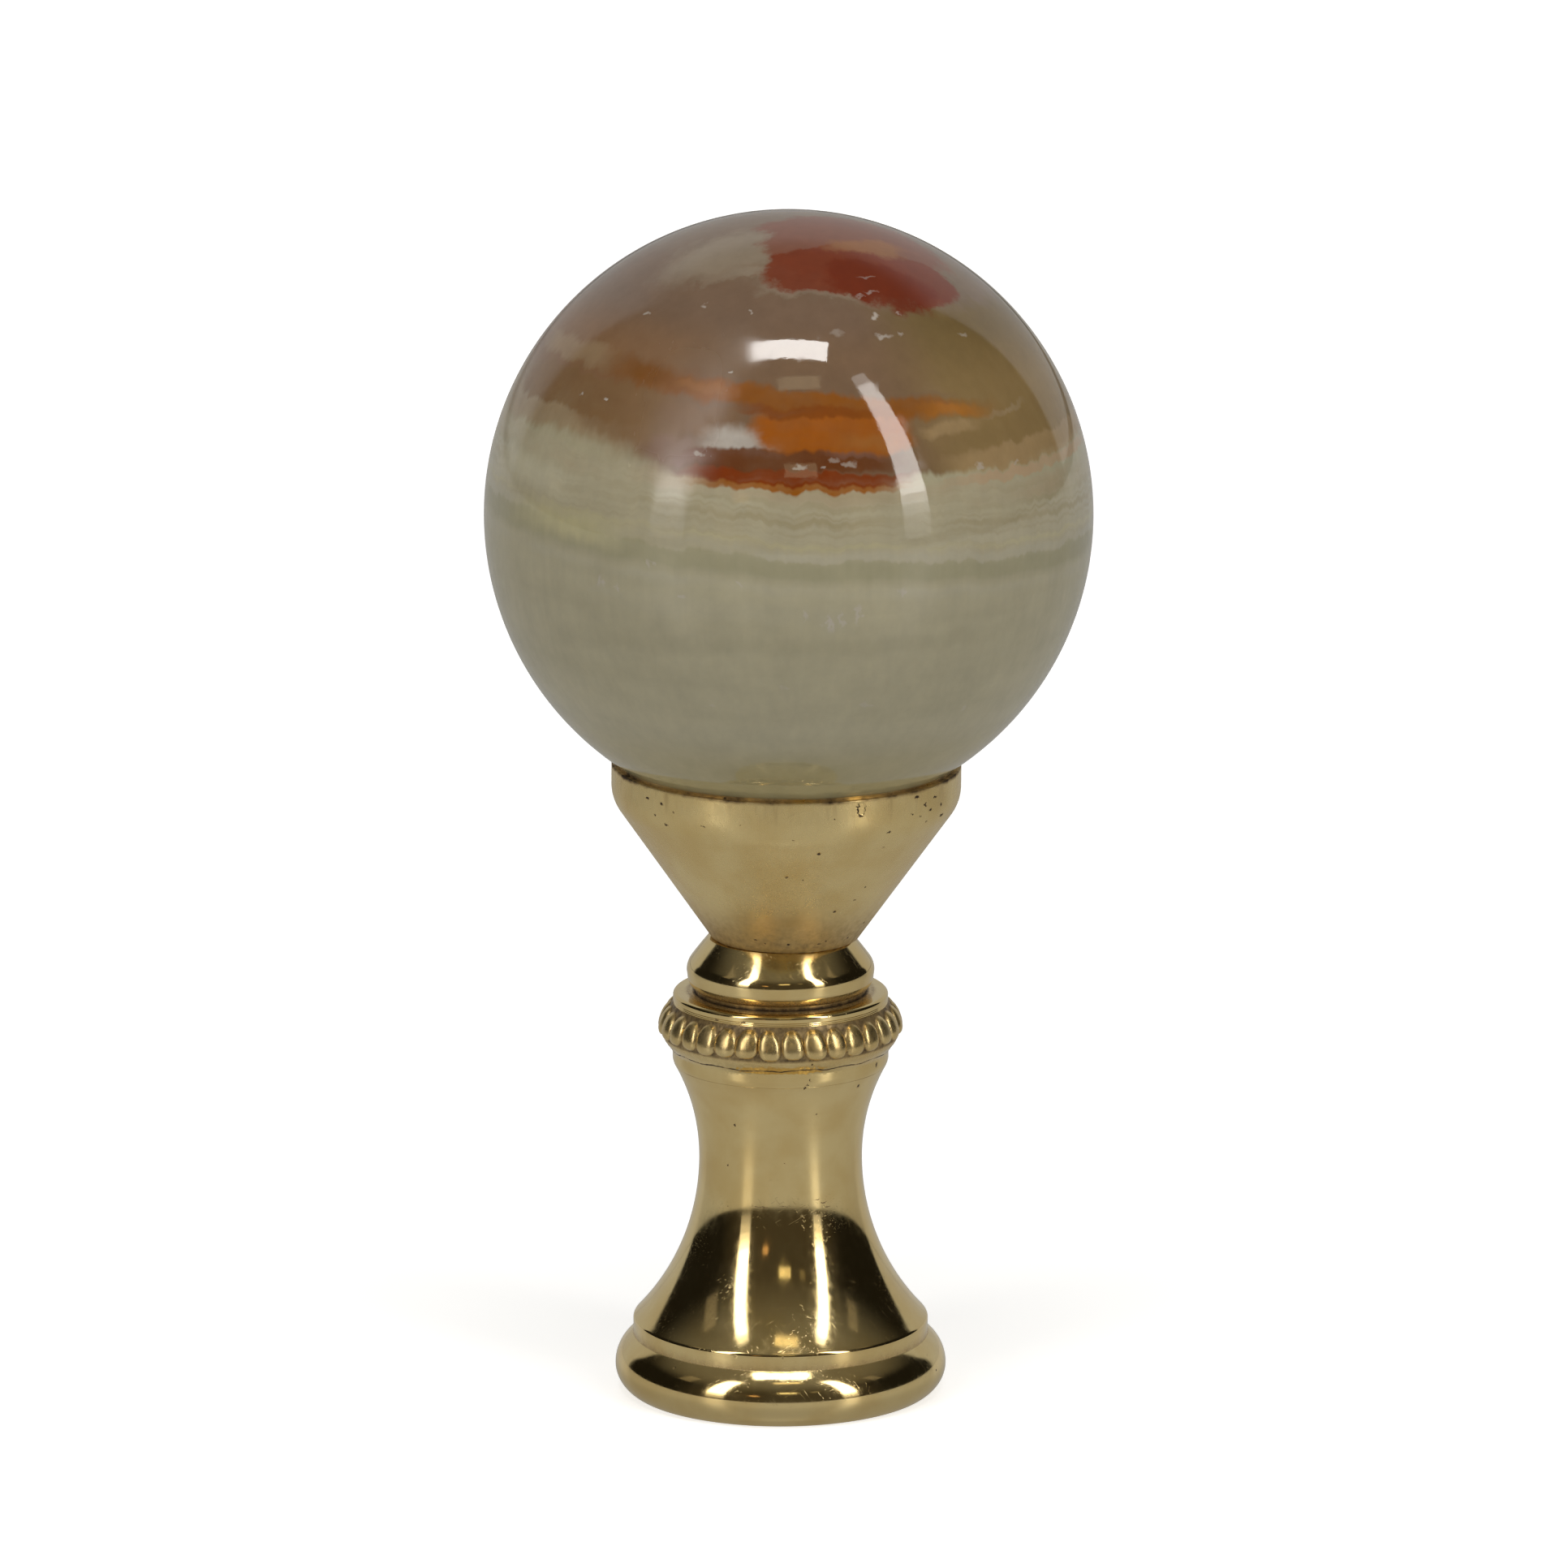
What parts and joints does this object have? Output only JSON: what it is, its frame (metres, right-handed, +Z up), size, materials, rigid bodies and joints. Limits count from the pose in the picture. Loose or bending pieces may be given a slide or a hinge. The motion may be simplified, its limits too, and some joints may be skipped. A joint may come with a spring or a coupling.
{
  "type": "lamp finial with an onyx ball",
  "caption": "Lamp finial: a polished banded stone ball glued in a conical brass cup, on a waisted brass stem with a beaded collar and a rolled foot, tapped from below.",
  "frame": {"origin": "centre of the foot's underside, on the stem's axis", "axes": "+Z up along the stem, -Y towards the viewer in the picture, +X to the viewer's right, the side the cup and ball lean to"},
  "size_m": [0.035, 0.035, 0.0694],
  "materials": {
    "onyx": "polished, translucent, banded grey-green with cream, orange and red-brown layers",
    "satin_brass": "fine-turned satin under old lacquer, pitted, with brown glue and grime at the rim",
    "polished_brass": "polished, with brown grime in the beads and crevices and faint tool marks"
  },
  "bodies": {
    "root": {"onyx_ball": "onyx", "brass_cup": "satin_brass", "brass_stem": "polished_brass"}
  },
  "joints": []
}
